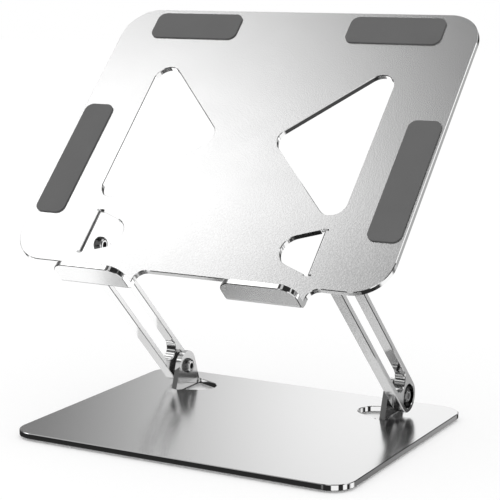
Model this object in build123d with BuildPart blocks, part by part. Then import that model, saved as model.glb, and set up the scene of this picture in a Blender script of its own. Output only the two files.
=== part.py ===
from build123d import *
from math import cos, radians, sin
import os

# Folding laptop stand in millimetres: +X to the right as seen from the front, +Y to the back, +Z up.
# The origin is on the desk, under the middle of the base plate.

# Sheet metal of the base and the tray
sheet = 4.0
edge_break = 0.4
bend_inner = 0.8
ear_bend_outer = 1.6

# Base plate and its feet
base_width = 250.0
base_depth = 195.6
base_corner = 16.0
foot_height = 1.5
foot_length = 26.0
foot_width = 12.0
foot_inset = 8.0

# Tray plate
tray_width = 278.0
tray_depth = 226.5
tray_corner = 24.5
pivot_to_front_edge = 26.5
tray_tilt = 45.0

# Triangular windows: upright outer side, square corner towards the middle, all corners round
window_outer = 92.5
window_inner = 20.4
window_middle = 113.5
window_corner = 10.0

# Hooks folded up from the tray's front edge
hook_center = 62.5
hook_width = 53.0
hook_reach = 14.2
lip_height = 17.9
lip_corner = 10.0
hook_fillet = 7.5
hook_pad_margin = 5.0

# Silicone pads
pad_thickness = 1.2
pad_corner = 6.0
pad_width = 23.2
top_pad_length = 70.2
top_pad_from_side = 60.9
top_pad_from_edge = 15.8
side_pad_length = 95.8
side_pad_from_edge = 13.8
side_pad_from_front = 86.4

# Arms
arm_length = 153.2
arm_width = 23.2
arm_thickness = 8.0
arm_lean = 45.0
arm_floor = 2.4
slot_width = 15.6
slot_from_pivot = 20.0
recess_radius = 8.5

# Ears folded out of the plates, and the cuts they leave behind
tray_ear_gauge = 84.2
ear_radius = 11.0
ear_half_width = 16.6
flap_reach = 13.0
cut_width = 1.0
relief_width = 1.6
base_pivot_rise = 14.0
tray_pivot_depth = 16.0
pivot_from_back = 34.7

# Pivot hardware: screw, friction washer, spring washer and thin lock nut
screw_radius = 3.0
head_radius = 5.5
head_height = 3.3
head_dome = 2.6
socket_across = 4.0
socket_depth = 2.0
nut_across = 10.0
nut_height = 3.0
collar_radius = 4.3
collar_height = 1.3
collar_round = 0.5
base_washer = 2.5
tray_washer = 0.3
washer_radius = 9.0
spring_radius = 7.0
spring_thickness = 0.8
spring_cone = 0.3

# Clearances: along a pivot, round a turning screw, and between a screw and its nut
axial_gap = 0.1
running_gap = 0.08
thread_gap = 0.02

# Places worked out from the sizes above
base_top = foot_height + sheet
arm_inside = tray_ear_gauge + sheet + tray_washer + axial_gap
base_ear_gauge = arm_inside - axial_gap - base_washer - sheet
recess_depth = arm_thickness - arm_floor
recess_floor = arm_inside + arm_floor
spring_seat = recess_floor + axial_gap
nut_seat = spring_seat + spring_thickness + spring_cone
nut_end = nut_seat + nut_height + collar_height
flap_center = tray_ear_gauge - flap_reach
pin_hole = screw_radius + running_gap
lean = radians(arm_lean)
tilt = radians(tray_tilt)
base_pivot = Vector(0, base_depth / 2 - pivot_from_back, base_top + base_pivot_rise)
tray_pivot = base_pivot + Vector(0, -cos(lean), sin(lean)) * arm_length
up_slope = Vector(0, cos(tilt), sin(tilt))
off_face = Vector(0, -sin(tilt), cos(tilt))
tray_frame = Plane(origin=tray_pivot, x_dir=(1, 0, 0), z_dir=off_face)
tray_face = tray_frame.offset(tray_pivot_depth)
front_edge = -pivot_to_front_edge
back_edge = tray_depth - pivot_to_front_edge
lip_outside = front_edge - hook_reach
hook_bend_outer = bend_inner + sheet
relief_reach = ear_bend_outer + relief_width
sides = {"left": -1, "right": 1}
same_place = 0.01

os.makedirs("parts", exist_ok=True)


def save(builder, name):
    """Label a finished piece and write it to its own file."""
    builder.part.label = name
    export_step(builder.part, f"parts/{name}.step")


def across(side, distance, pivot, x_dir):
    """Plane square to a pivot's axis, at a distance from the middle, facing outwards."""
    return Plane(origin=pivot + Vector(side * distance, 0, 0), x_dir=x_dir, z_dir=(side, 0, 0))


def ear_outline(foot):
    """Ear with a round end about its pivot, widening to its foot in the plate."""
    Circle(ear_radius)
    with Locations((0, foot)):
        Rectangle(2 * ear_half_width, sheet)
    make_hull()
    Circle(pin_hole, mode=Mode.SUBTRACT)


def flap_outline(side, ear_gauge, pivot_line):
    """Hole that an ear leaves in its plate: a round end that widens to the fold."""
    fold_half = ear_half_width + cut_width
    Polygon(
        (side * flap_center, pivot_line),
        (side * ear_gauge, pivot_line + fold_half),
        (side * ear_gauge, pivot_line - fold_half),
        align=None,
    )
    with Locations((side * flap_center, pivot_line)):
        Circle(ear_radius + cut_width)
    make_hull()
    with Locations((side * ear_gauge / 2, pivot_line)):
        Rectangle(ear_gauge, 2 * fold_half, mode=Mode.INTERSECT)


def relief_outline(side, ear_gauge, pivot_line):
    """Relief notch at each end of a fold."""
    notch = ear_half_width + relief_width / 2
    with Locations((side * ear_gauge, pivot_line - notch), (side * ear_gauge, pivot_line + notch)):
        SlotOverall(2 * relief_reach, relief_width)


def break_rim(builder, through, fold):
    """Break the rim of the last cut on both faces of a sheet, but not along its fold."""
    rim = builder.edges(Select.LAST).filter_by(Axis((0, 0, 0), through), reverse=True)
    chamfer(rim.filter_by(Axis((0, 0, 0), fold), reverse=True), edge_break)


def lines_at(builder, frame, direction, first, second):
    """Straight edges along one direction of a frame, picked by their place across it."""
    axis = {"x": frame.x_dir, "y": frame.y_dir}[direction]
    found = ShapeList()
    for edge in builder.edges().filter_by(GeomType.LINE):
        place = frame.to_local_coords(edge.center())
        place_across = {"x": place.Y, "y": abs(place.X)}[direction]
        square = abs(abs(edge.tangent_at(0).dot(axis)) - 1) < same_place
        if square and abs(place_across - first) < same_place and abs(place.Z - second) < same_place:
            found.append(edge)
    return found


# Base plate: a rounded sheet with two ears folded up
with BuildPart() as base_plate:
    with BuildSketch(Plane.XY.offset(foot_height)):
        RectangleRounded(base_width, base_depth, base_corner)
    extrude(amount=sheet)
    chamfer(base_plate.faces().filter_by(Axis.Z).edges(), edge_break)
    for side in sides.values():
        with BuildSketch(Plane.XY.offset(foot_height)):
            flap_outline(side, base_ear_gauge, base_pivot.Y)
        extrude(amount=sheet, mode=Mode.SUBTRACT)
        break_rim(base_plate, (0, 0, 1), (0, 1, 0))
        with BuildSketch(Plane.XY.offset(foot_height)):
            relief_outline(side, base_ear_gauge, base_pivot.Y)
        extrude(amount=sheet, mode=Mode.SUBTRACT)
        with BuildSketch(across(side, base_ear_gauge, base_pivot, (0, 1, 0))):
            ear_outline(-side * (base_pivot_rise + sheet / 2))
        extrude(amount=sheet)
    base_frame = Plane(origin=base_pivot, x_dir=(1, 0, 0), z_dir=(0, 0, 1))
    fillet(lines_at(base_plate, base_frame, "y", base_ear_gauge + sheet, -base_pivot_rise), bend_inner)
    fillet(lines_at(base_plate, base_frame, "y", base_ear_gauge, -base_pivot_rise - sheet), ear_bend_outer)
save(base_plate, "base_plate")

# Feet: four silicone strips under the base plate's corners
foot_x = base_width / 2 - foot_inset - foot_length / 2
foot_y = base_depth / 2 - foot_inset - foot_width / 2
for row, row_sign in {"front": -1, "back": 1}.items():
    for name, side in sides.items():
        with BuildPart() as base_foot:
            with BuildSketch():
                with Locations((side * foot_x, row_sign * foot_y)):
                    SlotOverall(foot_length, foot_width)
            extrude(amount=foot_height)
        save(base_foot, f"base_foot_{row}_{name}")

# Tray plate: a rounded sheet with windows, two ears folded back and two hooks folded up
with BuildPart() as tray_plate:
    with BuildSketch(tray_face) as outline:
        with Locations((0, (front_edge + back_edge) / 2)):
            RectangleRounded(tray_width, tray_depth, tray_corner)
        with Locations((-hook_center, front_edge), (hook_center, front_edge)):
            Rectangle(hook_width, 2 * hook_reach)
        inner_corners = outline.vertices().filter_by(
            lambda corner: abs(corner.Y - front_edge) < same_place
            and abs(abs(abs(corner.X) - hook_center) - hook_width / 2) < same_place
        )
        fillet(inner_corners, hook_fillet)
    extrude(amount=-sheet)
    with BuildSketch(tray_face) as windows:
        window_half = window_outer - window_inner
        window_level = front_edge + window_middle
        for side in sides.values():
            Polygon(
                (side * window_inner, window_level),
                (side * window_outer, window_level + window_half),
                (side * window_outer, window_level - window_half),
                align=None,
            )
        fillet(windows.vertices(), window_corner)
    extrude(amount=-sheet, mode=Mode.SUBTRACT)
    break_rim(tray_plate, off_face, off_face)
    for side in sides.values():
        with BuildSketch(tray_face):
            flap_outline(side, tray_ear_gauge, 0)
        extrude(amount=-sheet, mode=Mode.SUBTRACT)
        break_rim(tray_plate, off_face, up_slope)
        with BuildSketch(tray_face):
            relief_outline(side, tray_ear_gauge, 0)
        extrude(amount=-sheet, mode=Mode.SUBTRACT)
        with BuildSketch(across(side, tray_ear_gauge, tray_pivot, up_slope)):
            ear_outline(side * (tray_pivot_depth - sheet / 2))
        extrude(amount=sheet)
    lip_plane = Plane(origin=tray_pivot + up_slope * lip_outside, x_dir=(1, 0, 0), z_dir=-up_slope)
    lip_bottom = tray_pivot_depth - sheet
    lip_top = tray_pivot_depth + lip_height
    with BuildSketch(lip_plane) as lips:
        with Locations((-hook_center, lip_bottom), (hook_center, lip_bottom)):
            Rectangle(hook_width, lip_top - lip_bottom, align=(Align.CENTER, Align.MIN))
        fillet(lips.vertices().group_by(Axis.Y)[-1], lip_corner)
    extrude(amount=-sheet)
    fillet(lines_at(tray_plate, tray_frame, "y", tray_ear_gauge + sheet, lip_bottom), bend_inner)
    fillet(lines_at(tray_plate, tray_frame, "y", tray_ear_gauge, tray_pivot_depth), ear_bend_outer)
    fillet(lines_at(tray_plate, tray_frame, "x", lip_outside + sheet, tray_pivot_depth), bend_inner)
    fillet(lines_at(tray_plate, tray_frame, "x", lip_outside, lip_bottom), hook_bend_outer)
    chamfer(lines_at(tray_plate, tray_frame, "x", back_edge, tray_pivot_depth), edge_break)
    chamfer(lines_at(tray_plate, tray_frame, "x", back_edge, lip_bottom), edge_break)
save(tray_plate, "tray_plate")

# Tray pads: two along the top edge and two along the sides
top_pad_level = back_edge - top_pad_from_edge
top_pad_center = tray_width / 2 - top_pad_from_side
side_pad_level = front_edge + side_pad_from_front
side_pad_center = tray_width / 2 - side_pad_from_edge
for name, side in sides.items():
    with BuildPart() as top_pad:
        with BuildSketch(tray_face):
            with Locations((side * top_pad_center, top_pad_level)):
                RectangleRounded(top_pad_length, pad_width, pad_corner)
        extrude(amount=pad_thickness)
    save(top_pad, f"tray_pad_top_{name}")
    with BuildPart() as side_pad:
        with BuildSketch(tray_face):
            with Locations((side * side_pad_center, side_pad_level)):
                RectangleRounded(pad_width, side_pad_length, pad_corner)
        extrude(amount=pad_thickness)
    save(side_pad, f"tray_pad_side_{name}")

# Hook pads: thin silicone on the inner face of each lip
lip_inner_face = lip_plane.offset(-sheet)
hook_pad_height = lip_height - bend_inner - hook_pad_margin
for name, side in sides.items():
    with BuildPart() as hook_pad:
        with BuildSketch(lip_inner_face):
            with Locations((side * hook_center, tray_pivot_depth + bend_inner + hook_pad_height / 2)):
                SlotOverall(hook_width - 2 * hook_pad_margin, hook_pad_height)
        extrude(amount=-pad_thickness)
    save(hook_pad, f"hook_pad_{name}")

# Arms: slotted bars with a round recess for the nut at each end
along_arm = Vector(0, -cos(lean), sin(lean))
for name, side in sides.items():
    with BuildPart() as arm:
        with BuildSketch(across(side, arm_inside, base_pivot, along_arm)):
            with Locations((arm_length / 2, 0)):
                SlotCenterToCenter(arm_length, arm_width)
                SlotCenterToCenter(arm_length - 2 * slot_from_pivot, slot_width, mode=Mode.SUBTRACT)
        extrude(amount=arm_thickness)
        with Locations(across(side, arm_inside + arm_thickness, base_pivot, along_arm)):
            with Locations((0, 0), (arm_length, 0)):
                CounterBoreHole(pin_hole, recess_radius, recess_depth)
        broad_faces = arm.faces().filter_by(Axis.X).sort_by(Axis.X)
        chamfer(broad_faces[0].edges() + broad_faces[-1].edges(), edge_break)
    save(arm, f"{name}_arm")

# Pivot hardware: the same stack at the base ears and at the tray ears
pivots = {"base": (base_pivot, base_ear_gauge), "tray": (tray_pivot, tray_ear_gauge)}
washers = {"base": base_washer, "tray": tray_washer}
for level, (pivot, ear_gauge) in pivots.items():
    for name, side in sides.items():
        with BuildPart() as screw:
            with BuildSketch(across(side, ear_gauge, pivot, along_arm)):
                Circle(head_radius)
            extrude(amount=-head_height)
            head_top = across(side, ear_gauge - head_height, pivot, along_arm)
            fillet(screw.faces().sort_by(Axis.X)[0 if side > 0 else -1].edges(), head_dome)
            with BuildSketch(head_top):
                RegularPolygon(socket_across / 2, 6, major_radius=False)
            extrude(amount=socket_depth, mode=Mode.SUBTRACT)
            with BuildSketch(across(side, ear_gauge, pivot, along_arm)):
                Circle(screw_radius)
            extrude(amount=nut_end - ear_gauge)
        save(screw, f"{level}_screw_{name}")
        with BuildPart() as friction_washer:
            with BuildSketch(across(side, ear_gauge + sheet, pivot, along_arm)):
                Circle(washer_radius)
                Circle(pin_hole, mode=Mode.SUBTRACT)
            extrude(amount=washers[level])
        save(friction_washer, f"{level}_friction_washer_{name}")
        with BuildPart() as spring_washer:
            with BuildSketch(Plane(origin=pivot, x_dir=(side, 0, 0), z_dir=(0, 0, 1))):
                Polygon(
                    (spring_seat + spring_cone, pin_hole),
                    (spring_seat, spring_radius),
                    (spring_seat + spring_thickness, spring_radius),
                    (nut_seat, pin_hole),
                    align=None,
                )
            revolve(axis=Axis(pivot, (1, 0, 0)))
        save(spring_washer, f"{level}_spring_washer_{name}")
        with BuildPart() as lock_nut:
            with BuildSketch(across(side, nut_seat, pivot, along_arm)):
                RegularPolygon(nut_across / 2, 6, major_radius=False)
            extrude(amount=nut_height)
            with BuildSketch(across(side, nut_seat + nut_height, pivot, along_arm)):
                Circle(collar_radius)
            extrude(amount=collar_height)
            fillet(lock_nut.faces().sort_by(Axis.X)[-1 if side > 0 else 0].edges(), collar_round)
            with BuildSketch(across(side, nut_seat, pivot, along_arm)):
                Circle(screw_radius + thread_gap)
            extrude(amount=nut_height + collar_height, mode=Mode.SUBTRACT)
        save(lock_nut, f"{level}_lock_nut_{name}")
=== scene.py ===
# %% [markdown]
# # A folding laptop stand
# The stand is a flat base plate, two slotted arms and a tilting tray, held by four friction pivots.
# Its packed solids come in as a fixed frame in metres, and this lesson gives them their finishes.

# %% Load the packed stand
import math
import bpy
from mathutils import Matrix, Vector


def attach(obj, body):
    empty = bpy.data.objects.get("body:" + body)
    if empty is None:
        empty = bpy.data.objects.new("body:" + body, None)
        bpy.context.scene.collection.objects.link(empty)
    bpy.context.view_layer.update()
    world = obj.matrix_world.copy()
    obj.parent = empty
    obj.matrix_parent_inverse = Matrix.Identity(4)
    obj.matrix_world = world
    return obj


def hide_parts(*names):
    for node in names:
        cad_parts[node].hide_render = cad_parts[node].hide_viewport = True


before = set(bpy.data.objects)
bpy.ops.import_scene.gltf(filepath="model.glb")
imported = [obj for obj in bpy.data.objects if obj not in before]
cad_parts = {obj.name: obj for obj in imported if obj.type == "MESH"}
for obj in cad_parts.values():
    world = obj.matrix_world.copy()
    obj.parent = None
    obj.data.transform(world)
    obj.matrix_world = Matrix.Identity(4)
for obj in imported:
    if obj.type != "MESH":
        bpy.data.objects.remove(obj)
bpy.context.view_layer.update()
scene = bpy.context.scene
scene.view_settings.view_transform = "Standard"
print("solids in the frame:", len(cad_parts))

# %% [markdown]
# ## The camera
# The stand is seen from its front right, a little above the tray's front edge, through a long lens.
# A long lens stands far off and keeps parallel edges nearly parallel, as product pictures do.
# The place and the turn are written as one matrix: a turn about the desk's upright, a tip down, a trace of roll.

# %% Place the camera
camera_spot = Vector((0.529, -0.9424, 0.3225))
camera_data = bpy.data.cameras.new("product_camera")
camera_data.lens = 117.05
camera_data.sensor_width = 36.0
camera = bpy.data.objects.new("product_camera", camera_data)
scene.collection.objects.link(camera)
turn = Matrix.Rotation(math.radians(29.02), 4, "Z")
tip = Matrix.Rotation(math.radians(79.6), 4, "X")
roll = Matrix.Rotation(math.radians(-0.13), 4, "Z")
camera.matrix_world = Matrix.Translation(camera_spot) @ turn @ tip @ roll
scene.camera = camera
print("camera to the desk under the base:", round(camera_spot.length, 3), "m")

# %% [markdown]
# ## Shader maths as Python
# A finish is a sum of small patterns, and dozens of Math nodes are hard to read.
# This class wraps one output of a node, so that `1 - mask` or `grain * 0.1` adds the Math nodes by itself.
# Its `add` method makes any other node: the settings are set first, then the sockets get values or links.

# %% The wire class
class Wire:
    """One output socket in a node tree."""

    def __init__(self, tree, socket=None):
        self.tree = tree
        self.socket = socket

    def add(self, kind, settings=None, inputs=None, output=0):
        node = self.tree.nodes.new(kind)
        for name, value in (settings or {}).items():
            setattr(node, name, value)
        for name, value in (inputs or {}).items():
            self.feed(node.inputs[name], value)
        return Wire(self.tree, node.outputs[output] if node.outputs else None)

    def feed(self, socket, value):
        if isinstance(value, Wire):
            self.tree.links.new(value.socket, socket)
        else:
            socket.default_value = value

    def math(self, operation, first, second=0.0):
        return self.add("ShaderNodeMath", {"operation": operation}, {0: first, 1: second})

    def __add__(self, other):
        return self.math("ADD", self, other)

    def __sub__(self, other):
        return self.math("SUBTRACT", self, other)

    def __rsub__(self, other):
        return self.math("SUBTRACT", other, self)

    def __mul__(self, other):
        return self.math("MULTIPLY", self, other)

    __radd__ = __add__
    __rmul__ = __mul__

    def __abs__(self):
        return self.math("ABSOLUTE", self)

    def along(self, direction):
        """How far a vector reaches in one direction."""
        return self.add("ShaderNodeVectorMath", {"operation": "DOT_PRODUCT"}, {0: self, 1: direction}, "Value")

    def step(self, low, high, start=0.0, end=1.0):
        """Soft step from start at low to end at high; high may be the smaller one."""
        inputs = {"Value": self, "From Min": low, "From Max": high, "To Min": start, "To Max": end}
        return self.add("ShaderNodeMapRange", {"interpolation_type": "SMOOTHSTEP"}, inputs)


print("operators ready:", [name for name in vars(Wire) if name.startswith("__") and name != "__init__"][:6])

# %% [markdown]
# ## The studio
# Bare metal has no colour of its own to show: it looks like the room round it.
# So the room is a world that is bright or dark by direction, with dark gaps that draw the lines along polished edges.
# Lamps could hang there instead, but a world has no hot spots and no noise.
# Three dot products tell how far a direction points to the right, to the back and up.

# %% Name the room's directions
world = bpy.data.worlds.new("soft_box_studio")
scene.world = world
world.use_nodes = True
room = Wire(world.node_tree)
toward = room.add("ShaderNodeTexCoord", output="Generated")
right = toward.along((1, 0, 0))
back = toward.along((0, 1, 0))
up = toward.along((0, 0, 1))
dim_walls = 0.025
print("room directions ready")

# %% [markdown]
# ## Soft boxes
# Large soft boxes hang on the left, behind, overhead and in front, and two thin strips cross the front one.
# A box is a level and a list of soft edges: along which direction, where it is dark, and where it is full.
# An edge may also go between two shares of the level, which makes one end of a box brighter than the other.

# %% Hang the soft boxes
soft_boxes = {
    "left glow": (0.1, (up, -0.1, 0.3), (right, -0.24, -0.36)),
    "left box": (
        1.42, (right, -0.335, -0.52), (right, -0.66, -0.80, 1, 0.65), (up, 0.0, 0.2), (back, -0.75, -0.45),
        (back, 0.095, -0.145), (back, -0.27, -0.18, 0.2, 1), (back, -0.06, -0.16, 1, 1.3),
    ),
    "back box": (
        1.05, (right, -0.61, -0.405), (right, 0.3, 0.0), (back, 0.45, 0.65), (up, 0.08, 0.22), (up, 0.62, 0.22),
    ),
    "top box": (0.75, (back, 0.10, 0.25), (up, 0.62, 0.8), (right, -0.42, -0.55, 1, 1.4)),
    "overhead box": (0.55, (right, -0.26, -0.12), (right, 0.12, 0.04), (up, 0.85, 0.95), (back, 0.0, -0.1)),
    "front box": (0.7, (right, -0.38, -0.30), (back, -0.5, -0.7), (up, 0.04, 0.14)),
    "low strip": (0.9, (up, 0.16, 0.18), (up, 0.28, 0.26), (back, -0.42, -0.52), (right, -0.30, -0.38)),
    "high strip": (0.9, (up, 0.60, 0.62), (up, 0.72, 0.70), (back, -0.42, -0.52), (right, -0.30, -0.38)),
}


def add_lights(studio, lights):
    """The room's brightness, with each light of a table added to it."""
    for level, *edges in lights.values():
        light = level
        for axis, *limits in edges:
            light = axis.step(*limits) * light
        studio = light + studio
    return studio


studio = add_lights(dim_walls, soft_boxes)
print("soft boxes:", len(soft_boxes))

# %% [markdown]
# ## Lit floor and walls
# Below the horizon the metal mirrors the desk and the foot of the walls.
# The floor is lit behind on the right and close in front, and each side wall has one low lit band.
# They are written as the soft boxes are.

# %% Light the floor and the walls
lit_surfaces = {
    "far floor": (0.4, (back, 0.5, 0.75), (right, 0.16, 0.33), (up, -0.38, -0.24), (up, 0.02, -0.04)),
    "near floor": (
        0.95, (back, 0.5, 0.75), (right, 0.43, 0.55), (up, -0.38, -0.24), (up, -0.30, -0.19), (up, -0.04, -0.09),
    ),
    "front floor": (0.75, (back, 0.0, -0.2), (up, -0.4, -0.55)),
    "left wall": (1.0, (right, -0.70, -0.80), (back, -0.15, 0.0), (up, -0.235, -0.205), (up, -0.03, -0.10)),
    "right wall": (1.0, (right, 0.70, 0.80), (back, -0.27, -0.22), (back, 0.10, 0.05), (up, 0.38, 0.28)),
}
studio = add_lights(studio, lit_surfaces)
print("lit surfaces:", len(lit_surfaces))

# %% [markdown]
# ## Round cards
# A chamfer or a rounded corner picks one small spot of the room, so small round cards give these lines their gleams.
# A card is a bearing and a rise in degrees, its reach, the softness of its rim, and a level.
# The bearing counts from the right towards the back.

# %% Stand the cards
cards = {
    "right strip overhead": (12, 40, 7, 2.5, 1.0),
    "right top card": (-36, 42, 13, 4, 0.7),
    "right back card": (38, 21, 13, 3, 0.8),
    "front right card": (-53, -12, 17, 1.5, 1.0),
    "front left card": (-106, -13, 5, 1.5, 0.6),
    "left front card": (-151, -5, 4.5, 1.5, 1.0),
    "left front floor card": (-138, -29, 8, 2.5, 1.0),
    "left back card": (142, 14, 11, 3, 0.5),
    "left top card": (139, 30, 10, 4, 0.5),
    "left floor card": (167, -46.5, 18, 2.5, 1.1),
    "left back floor card": (143, -31, 10, 2, 1.1),
    "right floor card": (35, -32, 17.5, 4, 1.0),
    "right window floor": (18, -54, 6, 3, 0.04),
}
for bearing, rise, reach, softness, level in cards.values():
    middle = Vector((math.cos(math.radians(rise)), 0, math.sin(math.radians(rise))))
    middle.rotate(Matrix.Rotation(math.radians(bearing), 3, "Z"))
    outer = math.cos(math.radians(reach + softness))
    inner = math.cos(math.radians(reach - softness))
    studio = studio + toward.along(middle).step(outer, inner) * level
print("cards:", len(cards))

# %% [markdown]
# ## Who sees the room
# Only mirrored rays see the boxes and the cards.
# The camera sees plain white behind the stand, and matt pieces are lit by an even white, both at a strength of 1.

# %% Show the room to the metal
background = world.node_tree.nodes["Background"]
background.inputs["Color"].default_value = (1, 1, 1, 1)
mirrored = room.add("ShaderNodeLightPath", output="Is Glossy Ray")
room.feed(background.inputs["Strength"], 1 + mirrored * (studio - 1))
print("studio nodes:", len(world.node_tree.nodes))

# %% [markdown]
# ## The floor
# The stand rests on a seamless white sweep, so only a soft contact shadow tells where the desk is.
# One large square is enough, because the world behind it is as white as the sweep.
# Metal doesn't see the sweep, because the studio already has the floor that it mirrors.

# %% Lay the floor
floor_half = 4.0
floor_mesh = bpy.data.meshes.new("white_sweep")
corners = [(x * floor_half, y * floor_half, 0) for x, y in ((-1, -1), (1, -1), (1, 1), (-1, 1))]
floor_mesh.from_pydata(corners, [], [(0, 1, 2, 3)])
floor = bpy.data.objects.new("white_sweep", floor_mesh)
scene.collection.objects.link(floor)
floor.visible_glossy = False
print("floor:", 2 * floor_half, "m wide")

# %% [markdown]
# ## White of the floor
# Part of the sweep's white is its own and part is reflected light, and only the reflected part can be shaded.
# Close under the base an Ambient Occlusion node takes the own white away, which leaves a dark line along the plate.

# %% Paint the floor
own_white = 0.62
glow_level = 1.035
shadow_reach = 0.02
sweep = bpy.data.materials.new("white_sweep")
sweep.use_nodes = True
sweep.node_tree.nodes.clear()
paper = Wire(sweep.node_tree)
matt = paper.add("ShaderNodeBsdfDiffuse", inputs={"Color": (1, 1, 1, 1)})
glow = paper.add("ShaderNodeEmission", inputs={"Color": (1, 1, 1, 1), "Strength": glow_level})
openness = paper.add("ShaderNodeAmbientOcclusion", {"samples": 16}, {"Distance": shadow_reach}, "AO")
share = openness.step(0.1, 0.9) * own_white
both_whites = paper.add("ShaderNodeMixShader", inputs={0: share, 1: matt, 2: glow})
paper.add("ShaderNodeOutputMaterial", inputs={"Surface": both_whites})
floor_mesh.materials.append(sweep)
print("floor shadow reaches:", shadow_reach * 1000, "mm")

# %% [markdown]
# ## Directions on the tray
# The tray leans back at 45 degrees, so its finish is easier to place along the slope and off the face.
# Dot products with these two directions turn a point of the stand into a place on the tray.

# %% Name the tray's directions
tilt = math.radians(45)
up_slope = Vector((0, math.cos(tilt), math.sin(tilt)))
off_face = Vector((0, -math.sin(tilt), math.cos(tilt)))
base_pivot = Vector((0, 0.0631, 0.0195))
arm_length = 0.1532
along_arm = Vector((0, -math.cos(tilt), math.sin(tilt)))
tray_pivot = base_pivot + along_arm * arm_length
print("tray pivot:", [round(c, 4) for c in tray_pivot])

# %% [markdown]
# ## A blank finish
# Every finish starts from one Principled shader with its plain numbers on the shader's own sockets.
# What changes over the surface is fed in afterwards, by wires.

# %% The blank finish
def blank_finish(name, color, metallic, roughness):
    """A new material, its shader, and wires for the point and the facing of the surface."""
    material = bpy.data.materials.new(name)
    material.use_nodes = True
    shader = material.node_tree.nodes["Principled BSDF"]
    shader.inputs["Base Color"].default_value = (*color, 1)
    shader.inputs["Metallic"].default_value = metallic
    shader.inputs["Roughness"].default_value = roughness
    wire = Wire(material.node_tree)
    point = wire.add("ShaderNodeTexCoord", output="Object")
    facing = wire.add("ShaderNodeTexCoord", output="Normal")
    return material, shader, point, facing


def grain(point, size, detail=2.0):
    """Even noise, with grains of about the given size in metres."""
    return point.add("ShaderNodeTexNoise", inputs={"Vector": point, "Scale": 1 / size, "Detail": detail})


def lines(point, width, length_along_x, turn_about_x=0.0):
    """Fine lines of the given width that run along X, as a brush leaves them."""
    stretched = point.add(
        "ShaderNodeMapping",
        inputs={
            "Vector": point,
            "Rotation": (turn_about_x, 0, 0),
            "Scale": (1 / length_along_x, 1 / width, 1 / width),
        },
    )
    return point.add("ShaderNodeTexNoise", inputs={"Vector": stretched, "Scale": 1.0, "Detail": 3.0})


def bump(point, height, depth, strength):
    """Relief of the given depth in metres."""
    return point.add("ShaderNodeBump", inputs={"Strength": strength, "Distance": depth, "Height": height})


def blend(point, share, first, second):
    """A colour between two colours; a Mix node has its colours on sockets 6 and 7, and gives one on output 2."""
    return point.add("ShaderNodeMix", {"data_type": "RGBA"}, {0: share, 6: first, 7: second}, 2)


def grey(point, dark, light, share):
    """A grey between two levels, by a share from 0 to 1."""
    return blend(point, share, (dark, dark, dark, 1), (light, light, light, 1))


polished_edge = 0.035
print("finish helpers ready; roughness of a polished edge:", polished_edge)

# %% [markdown]
# ## Faces of the tray
# The tray is aluminium sheet, blasted with fine beads before it is anodised.
# Its cut edges are chamfered and polished afterwards, and stay bright.
# Masks tell them apart: a sheet's face looks along the sheet's own normal, and a cut edge does not.
# The folded ears, the hooks and the bends below the hooks look other ways, so each has a mask of its own.

# %% Find the tray's blasted faces
tray_finish, tray_shader, point, facing = blank_finish("blasted_tray_sheet", (0.88, 0.88, 0.88), 1.0, 0.24)
up_place = point.along(up_slope) - tray_pivot.dot(up_slope)
off_place = point.along(off_face) - tray_pivot.dot(off_face)
rightward = facing.along((1, 0, 0))
sideways = abs(rightward)
plate_face = abs(facing.along(off_face)).step(0.97, 0.995) * off_place.step(0.0302, 0.0292)
ear_face = sideways.step(0.97, 0.995) * off_place.step(0.0118, 0.0108)
hook_face = abs(facing.along(up_slope)).step(0.90, 0.97) * up_place.step(-0.0335, -0.0355)
bend_face = sideways.step(0.3, 0.1) * up_place.step(-0.0265, -0.0285) * off_place.step(0.0215, 0.0205)
blasted = plate_face.math("MAXIMUM", plate_face, ear_face * 0.4)
blasted = blasted.math("MAXIMUM", blasted, hook_face)
blasted = blasted.math("MAXIMUM", blasted, bend_face)
print("masks for the tray's faces: plate, ears, hooks, bends")

# %% [markdown]
# ## Grain of the tray
# Blasting leaves small dents, which scatter the mirrored room, and a slow cloud keeps a large face from looking dead.
# The dents go into the roughness and into a fine relief, both only on the blasted faces.

# %% Blast the tray
bead_width = 0.0010
bead_depth = 0.00004
beads = grain(point, bead_width, 1.0)
clouds = grain(point, 0.03)
tray_roughness = polished_edge + blasted * (0.16 + beads * 0.06 + clouds * 0.03)
point.feed(tray_shader.inputs["Roughness"], tray_roughness)
point.feed(tray_shader.inputs["Normal"], bump(point, beads * blasted, bead_depth, 0.6))
print("bead grain:", bead_width * 1000, "mm wide,", bead_depth * 1000, "mm deep")

# %% [markdown]
# ## Greys of the tray
# The dents also show as light and dark specks, most of all towards the lower right, where less light floods them.
# The sheet is also painted a little darker in that corner, as painted shade.
# The upper wall of the right ear's window looks down into the dark, and a last mask paints that dark reflection into
# its colour.

# %% Colour the tray
sheet_level = 0.925
speck_contrast = 0.14
across = point.along((1, 0, 0))
specks = (beads.step(0.3, 0.7) - 0.5) * across.step(-0.10, 0.08, 0.45, 1.0) * up_place.step(0.08, 0.01)
# Painted shade: the lower right of the sheet is darkened in its colour.
painted_corner_shade = across.step(0.0, 0.13, 0.055, 0.155) * up_place.step(0.045, -0.02)
window_wall = facing.along(-up_slope).step(0.78, 0.88) * rightward.step(0.15, 0.30)
# Painted reflection: the window's upper wall is darkened in its colour.
painted_dark_reflection = window_wall * up_place.step(0.004, 0.008) * up_place.step(0.030, 0.024)
tray_level = sheet_level + plate_face * (specks * speck_contrast - painted_corner_shade)
point.feed(tray_shader.inputs["Base Color"], grey(point, 0.0, 1.0, tray_level * (1 - painted_dark_reflection * 0.9)))
print("tray finish nodes:", len(tray_finish.node_tree.nodes))
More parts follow.
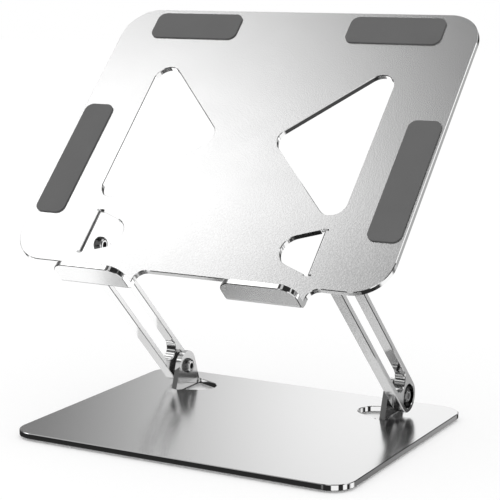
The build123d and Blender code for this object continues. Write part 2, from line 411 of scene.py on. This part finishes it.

# %% [markdown]
# ## The satin base
# The base plate is the same sheet with a smoother, satin face: it mirrors the arms as long soft streaks.
# Very fine lines run across it, and its cut edges are polished like the tray's.
# The rim underneath, next to the desk, is painted dark as painted shade, where it faces the shadowed desk: a mask by
# the facing finds it.

# %% Make the base's finish
base_finish, base_shader, point, facing = blank_finish("satin_base_sheet", (0.86, 0.86, 0.86), 1.0, 0.2)
height = point.along((0, 0, 1))
base_face = abs(facing.along((0, 0, 1))).step(0.90, 0.97) * height.step(0.0080, 0.0065)
base_ear_face = abs(facing.along((1, 0, 0))).step(0.90, 0.97) * height.step(0.0060, 0.0072)
satin = base_face.math("MAXIMUM", base_face, base_ear_face)
base_lines = lines(point, 0.0004, 0.02)
base_grain = grain(point, 0.0006)
base_roughness = polished_edge + satin * (0.11 + base_lines * 0.05 + base_grain * 0.03)
point.feed(base_shader.inputs["Roughness"], base_roughness)
downward = facing.along((0, 0, -1))
# Painted shade: the lower rim is darkened to 0.10 in the base's colour.
painted_rim_shade = downward.step(0.3, 0.5) * downward.step(0.97, 0.90)
base_level = (1 - painted_rim_shade) * (0.95 + base_lines * 0.05)
point.feed(base_shader.inputs["Base Color"], grey(point, 0.10, 0.88, base_level))
point.feed(base_shader.inputs["Normal"], bump(point, base_grain * satin, 0.00003, 0.2))
print("base finish nodes:", len(base_finish.node_tree.nodes))

# %% [markdown]
# ## Distance from a pivot
# Screws, nuts and the recesses round them are turned parts.
# So their finishes follow the distance from a pivot's line.
# Both lines run along X, and the nearer of the two counts.

# %% Measure from the pivots
def distance_from(point, pivot):
    """Distance from one pivot's line."""
    upright = point.along((0, 0, 1)) - pivot.z
    level = point.along((0, 1, 0)) - pivot.y
    return point.math("SQRT", upright * upright + level * level)


def nearest_pivot(point):
    """Distance from the nearer of the two pivot lines."""
    return point.math("MINIMUM", distance_from(point, base_pivot), distance_from(point, tray_pivot))


print("pivot lines:", [round(c, 4) for c in base_pivot], [round(c, 4) for c in tray_pivot])

# %% [markdown]
# ## The arm bars
# The arms are flat bars, milled and polished: their broad faces are satin along the bar, and the slot's walls shine.
# The round recess at each end is painted dark as painted shade, so that the nut stands out in it.

# %% Make the arms' finish
arm_finish, arm_shader, point, facing = blank_finish("satin_arm_bar", (0.88, 0.88, 0.88), 1.0, 0.2)
broad_face = abs(facing.along((1, 0, 0))).step(0.90, 0.97)
swapped = point.add(
    "ShaderNodeCombineXYZ",
    inputs={"X": point.along(along_arm), "Y": point.along(up_slope), "Z": point.along((1, 0, 0))},
)
arm_lines = lines(swapped, 0.0003, 0.012)
arm_grain = grain(point, 0.0006)
# Painted shade: the recess round each pivot is darkened to 0.06 in the arm's colour.
outside_painted_recess_shade = nearest_pivot(point).step(0.0084, 0.0087)
arm_roughness = 0.08 + broad_face * (0.08 + arm_lines * 0.06) + arm_grain * 0.03
arm_level = outside_painted_recess_shade * (0.95 + arm_lines * 0.05)
point.feed(arm_shader.inputs["Roughness"], arm_roughness)
point.feed(arm_shader.inputs["Base Color"], grey(point, 0.06, 0.90, arm_level))
point.feed(arm_shader.inputs["Normal"], bump(point, arm_lines * broad_face, 0.00002, 0.15))
print("arm finish nodes:", len(arm_finish.node_tree.nodes))

# %% [markdown]
# ## Steel of the pivots
# The screws and lock nuts are steel with the faint turning rings of a lathe, painted dark as painted reflection. A
# screw's crown is painted bright as a painted highlight, with its hex socket and sides dark as painted shade, and a
# nut's edges are painted bright as painted glints.
# The ring inside a nut's collar is nylon, so it is told apart by its distance from the pivot's line.

# %% Make the screws and the nuts
lathe_pace = 30000.0
nylon_black = (0.02, 0.02, 0.022, 1)


def pivot_steel(name, darkest, brightest, painted_highlights, nylon_share):
    """Steel painted dark as painted reflection, with painted highlights, and with a nylon ring in the collar where
    the share is 1.
    """
    material, shader, point, facing = blank_finish(name, (brightest,) * 3, 1.0, 0.1)
    from_line = nearest_pivot(point)
    endways = abs(facing.along((1, 0, 0)))
    lathe = point.math("SINE", from_line * lathe_pace)
    specks = grain(point, 0.0004)
    nylon = from_line.step(0.0030, 0.0031) * from_line.step(0.0038, 0.0037) * nylon_share
    # Painted highlights and painted dark reflection in the steel's colour.
    steel = grey(point, darkest, brightest, specks * 0.2 + painted_highlights(endways, from_line) * 0.8)
    point.feed(shader.inputs["Base Color"], blend(point, nylon, steel, nylon_black))
    point.feed(shader.inputs["Metallic"], 1 - nylon)
    point.feed(shader.inputs["Roughness"], 0.05 + lathe * 0.01 + specks * 0.03 + nylon * 0.3)
    point.feed(shader.inputs["Normal"], bump(point, lathe * 0.5 + specks, 0.000004, 0.1))
    return material


def painted_crown_highlight(endways, from_line):
    """Painted highlight on the dome of a screw's head; its hex socket and sides stay dark as painted shade."""
    return endways.step(0.60, 0.80) * from_line.step(0.0023, 0.0025)


def painted_edge_glints(endways, from_line):
    """Painted glints on the sides and edges of a nut."""
    return endways.step(0.97, 0.90)


screw_finish = pivot_steel("screw_steel_painted_highlights", 0.04, 0.90, painted_crown_highlight, 0.0)
nut_finish = pivot_steel("lock_nut_painted_glints", 0.10, 0.75, painted_edge_glints, 1.0)
print("steel finishes:", screw_finish.name, nut_finish.name)
print("turning rings:", round(math.tau / lathe_pace * 1000, 2), "mm apart")

# %% [markdown]
# ## Washers
# The conical spring washers are tempered steel, a little darker than the arms.
# The friction washers are black nylon.
# Both are mostly hidden, so one slow cloud or one fine mould grain is enough for each.

# %% Make the washers' finishes
spring_finish, spring_shader, point, facing = blank_finish("tempered_spring_steel", (0.5, 0.5, 0.5), 1.0, 0.25)
temper = grain(point, 0.002)
point.feed(spring_shader.inputs["Base Color"], grey(point, 0.36, 0.5, temper))
point.feed(spring_shader.inputs["Roughness"], 0.2 + temper * 0.1)
washer_finish, washer_shader, point, facing = blank_finish("black_nylon", (0.02, 0.02, 0.02), 0.0, 0.45)
mould = grain(point, 0.0008)
point.feed(washer_shader.inputs["Base Color"], grey(point, 0.015, 0.03, mould))
point.feed(washer_shader.inputs["Roughness"], 0.4 + mould * 0.15)
point.feed(washer_shader.inputs["Normal"], bump(point, mould, 0.00002, 0.3))
print("washer finishes:", spring_finish.name, washer_finish.name)

# %% [markdown]
# ## Silicone
# The pads are mid grey silicone with a matt, slightly dusty face, and the feet are darker.
# Fine moulding grain breaks the light, and a slow cloud keeps a large pad from looking like paint.

# %% Make the silicone finishes
def silicone(name, dark, light):
    """Matt silicone between two greys."""
    material, shader, point, facing = blank_finish(name, (light, light, light), 0.0, 0.7)
    dust = grain(point, 0.0006, 4.0)
    cloud = grain(point, 0.02)
    point.feed(shader.inputs["Base Color"], grey(point, dark, light, dust * 0.6 + cloud * 0.4))
    point.feed(shader.inputs["Roughness"], 0.62 + dust * 0.2)
    point.feed(shader.inputs["Normal"], bump(point, dust, 0.00005, 0.3))
    return material


pad_finish = silicone("grey_pad_silicone", 0.105, 0.145)
foot_finish = silicone("dark_foot_silicone", 0.02, 0.035)
print("silicone finishes:", pad_finish.name, foot_finish.name)

# %% [markdown]
# ## A rule for a silicone slab
# All ten pads and feet are one idea: a rounded rectangle cut from sheet silicone, with its upper rim eased.
# One Geometry Nodes tree draws that shape from four sizes, so each slab is only a row of numbers.
# Its inputs are declared first, with their names.

slab_tree = bpy.data.node_groups.new("silicone_slab", "GeometryNodeTree")
slab_sizes = {}
for size_name in ("Length", "Width", "Corner", "Thickness"):
    slab_sizes[size_name] = slab_tree.interface.new_socket(size_name, in_out="INPUT", socket_type="NodeSocketFloat")
slab_skin = slab_tree.interface.new_socket("Skin", in_out="INPUT", socket_type="NodeSocketMaterial")
slab_tree.interface.new_socket("Slab", in_out="OUTPUT", socket_type="NodeSocketGeometry")
print("slab inputs:", [*slab_sizes, slab_skin.name])

# %% [markdown]
# ## Drawing the slab
# A rectangle is rounded at its corners, filled and raised, and a flipped copy of the fill closes the underside.
# Points that meet are merged, and the result gets its material.

# %% Draw the slab
slab = Wire(slab_tree)
given = slab_tree.nodes.new("NodeGroupInput")
wanted = {socket.name: Wire(slab_tree, socket) for socket in given.outputs}
outline = slab.add("GeometryNodeCurvePrimitiveQuadrilateral", inputs={0: wanted["Length"], 1: wanted["Width"]})
rounded = slab.add(
    "GeometryNodeFilletCurve",
    {"mode": "POLY"},
    {"Curve": outline, "Count": 10, "Radius": wanted["Corner"], "Limit Radius": True},
)
underside = slab.add("GeometryNodeFillCurve", {"mode": "NGONS"}, {"Curve": rounded})
rise = slab.add("ShaderNodeCombineXYZ", inputs={"Z": wanted["Thickness"]})
raised = slab.add(
    "GeometryNodeExtrudeMesh",
    {"mode": "FACES"},
    {"Mesh": underside, "Offset": rise, "Individual": False},
)
flipped = slab.add("GeometryNodeFlipFaces", inputs={"Mesh": underside})
both = slab.add("GeometryNodeJoinGeometry")
for part in (raised, flipped):
    slab_tree.links.new(part.socket, both.socket.node.inputs[0])
closed = slab.add("GeometryNodeMergeByDistance", inputs={"Geometry": both, "Distance": 0.000001})
real = slab.add("GeometryNodeRealizeInstances", inputs={"Geometry": closed})
skinned = slab.add("GeometryNodeSetMaterial", inputs={"Geometry": real, "Material": wanted["Skin"]})
slab.add("NodeGroupOutput", inputs={0: skinned})
print("slab tree nodes:", len(slab_tree.nodes))

# %% [markdown]
# ## Cutting the slabs
# A slab is made flat at the origin, its upper rim is eased by a small bevel, and the result becomes a plain mesh.
# A matrix then carries the mesh to its place: a finished piece stays at the origin, with its place in its mesh.
# Each slab stands for the solid with the same name, and rides with the same body.

# %% Cut one slab
rim_share = 0.3


def cut_slab(node, sizes, skin, place, body):
    """One silicone slab, in the place of a packed solid."""
    blank = bpy.data.objects.new("slab_blank", bpy.data.meshes.new("slab_blank"))
    scene.collection.objects.link(blank)
    modifier = blank.modifiers.new("slab", "NODES")
    modifier.node_group = slab_tree
    for size_name, value in sizes.items():
        modifier[slab_sizes[size_name].identifier] = value
    modifier[slab_skin.identifier] = skin
    rim = blank.modifiers.new("rim", "BEVEL")
    rim.width = rim_share * sizes["Thickness"]
    rim.segments = 3
    rim.limit_method = "ANGLE"
    rim.angle_limit = math.radians(50)
    evaluated = blank.evaluated_get(bpy.context.evaluated_depsgraph_get())
    mesh = bpy.data.meshes.new_from_object(evaluated)
    bpy.data.objects.remove(blank)
    mesh.transform(place)
    mesh.shade_smooth()
    mesh.set_sharp_from_angle(angle=math.radians(35))
    piece = bpy.data.objects.new(f"{node}_silicone", mesh)
    scene.collection.objects.link(piece)
    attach(piece, body)
    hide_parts(node)
    return piece


def standing_at(origin, x_axis, normal):
    """Matrix that carries the flat slab to a place, with its length along an axis and its face along a normal."""
    y_axis = normal.cross(x_axis)
    turned = Matrix((x_axis, y_axis, normal)).transposed().to_4x4()
    return Matrix.Translation(origin) @ turned


print("slab cutter ready; a rim takes", rim_share, "of the thickness")

# %% [markdown]
# ## Tray pads, hook pads and feet
# Two pads lie along the tray's top edge and two along its sides, where a laptop's own feet would be.
# A thin pad lines each hook, and four long feet keep the base off the desk.
# A pad is a row of numbers: how far it lies from the middle, up the slope and off the face.
# Its length and width follow, and the row ends with the way that its face looks.

# %% Lay out the pads
tray_top = 0.016
tray_pads = {
    "tray_pad_top": (0.0781, 0.1842, tray_top, 0.0702, 0.0232, off_face),
    "tray_pad_side": (0.1252, 0.0599, tray_top, 0.0232, 0.0958, off_face),
    "hook_pad": (0.0625, -0.0367, 0.02285, 0.043, 0.0121, up_slope),
}
foot_rows = {"front": -0.0838, "back": 0.0838}
foot_from_middle = 0.104
pad_shape = {"Corner": 0.006, "Thickness": 0.0012}
foot_shape = {"Length": 0.026, "Width": 0.012, "Corner": 0.00595, "Thickness": 0.0015}
print("pads on each side:", len(tray_pads), "feet on each side:", len(foot_rows))

# %% [markdown]
# ## From the rows to the slabs
# The stand is the same on both sides, so every row is cut once for the left and once for the right.
# Pads ride with the tray, and feet ride with the base and look down.

# %% Cut the pads and the feet
side_axis = Vector((1, 0, 0))
slabs = []
for side_name, side in {"left": -1, "right": 1}.items():
    for pad, (from_middle, up_by, off_by, length, width, normal) in tray_pads.items():
        spot = tray_pivot + side_axis * side * from_middle + up_slope * up_by + off_face * off_by
        place = standing_at(spot, side_axis, normal)
        sizes = {"Length": length, "Width": width, **pad_shape}
        slabs.append(cut_slab(f"{pad}_{side_name}", sizes, pad_finish, place, "tray"))
    for row, row_place in foot_rows.items():
        spot = Vector((side * foot_from_middle, row_place, foot_shape["Thickness"]))
        place = standing_at(spot, side_axis, Vector((0, 0, -1)))
        foot = f"base_foot_{row}_{side_name}"
        slabs.append(cut_slab(foot, foot_shape, foot_finish, place, "base"))
print("slabs cut:", len(slabs))

# %% [markdown]
# ## Dressing the solids
# The metal pieces already have the right shape, so each keeps its solid and gets a finish in its material slots.
# The part of a name before its side tells which finish a piece of the pivots wears.

# %% Give each solid its finish
def finish_for(name):
    """The finish that a solid wears, by its name."""
    by_word = {
        "base_plate": base_finish,
        "tray_plate": tray_finish,
        "_arm": arm_finish,
        "friction_washer": washer_finish,
        "spring_washer": spring_finish,
        "lock_nut": nut_finish,
        "screw": screw_finish,
        "pad": pad_finish,
        "foot": foot_finish,
    }
    return next(finish for word, finish in by_word.items() if word in name)


for name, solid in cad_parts.items():
    solid.data.materials.clear()
    solid.data.materials.append(finish_for(name))
print("solids dressed:", len(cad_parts))

# %% [markdown]
